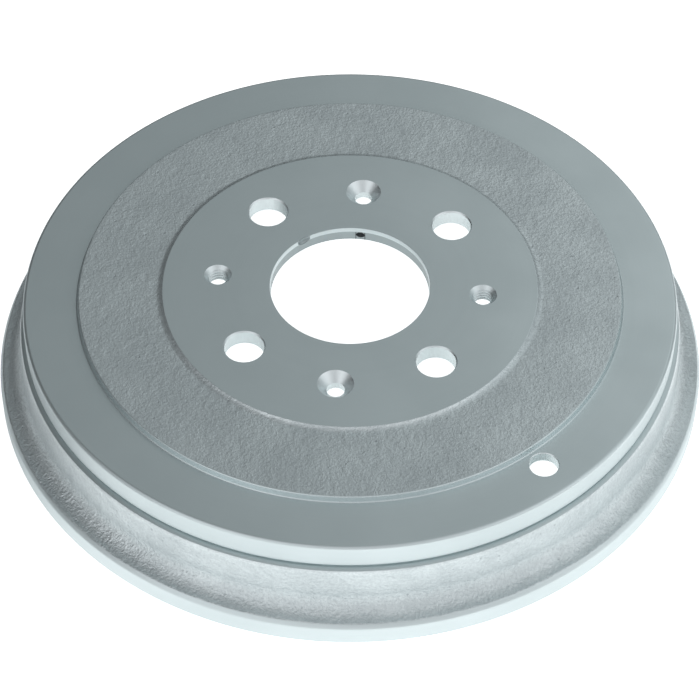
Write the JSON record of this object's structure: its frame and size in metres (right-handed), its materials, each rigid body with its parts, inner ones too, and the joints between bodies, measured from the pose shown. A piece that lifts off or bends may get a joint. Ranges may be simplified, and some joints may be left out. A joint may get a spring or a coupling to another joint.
{
  "type": "brake drum",
  "caption": "Round cast drum with a raised flat wheel face, centre hole, bolt holes, grooved outer wall and flange; brake shoes press on its inside.",
  "frame": {"origin": "on the axis of rotation, in the plane of the open edge that the drum stands on", "axes": "+Z along the axis of rotation, out of the wheel face; +X 39 degrees before a stud hole, so that the adjuster hole lies towards +X and -Y"},
  "size_m": [0.2628, 0.2628, 0.058],
  "materials": {
    "grey_iron": "pale grey iron, satin where turned and fine-grained matte where as cast"
  },
  "bodies": {
    "root": {"brake_drum": "grey_iron"}
  },
  "joints": []
}
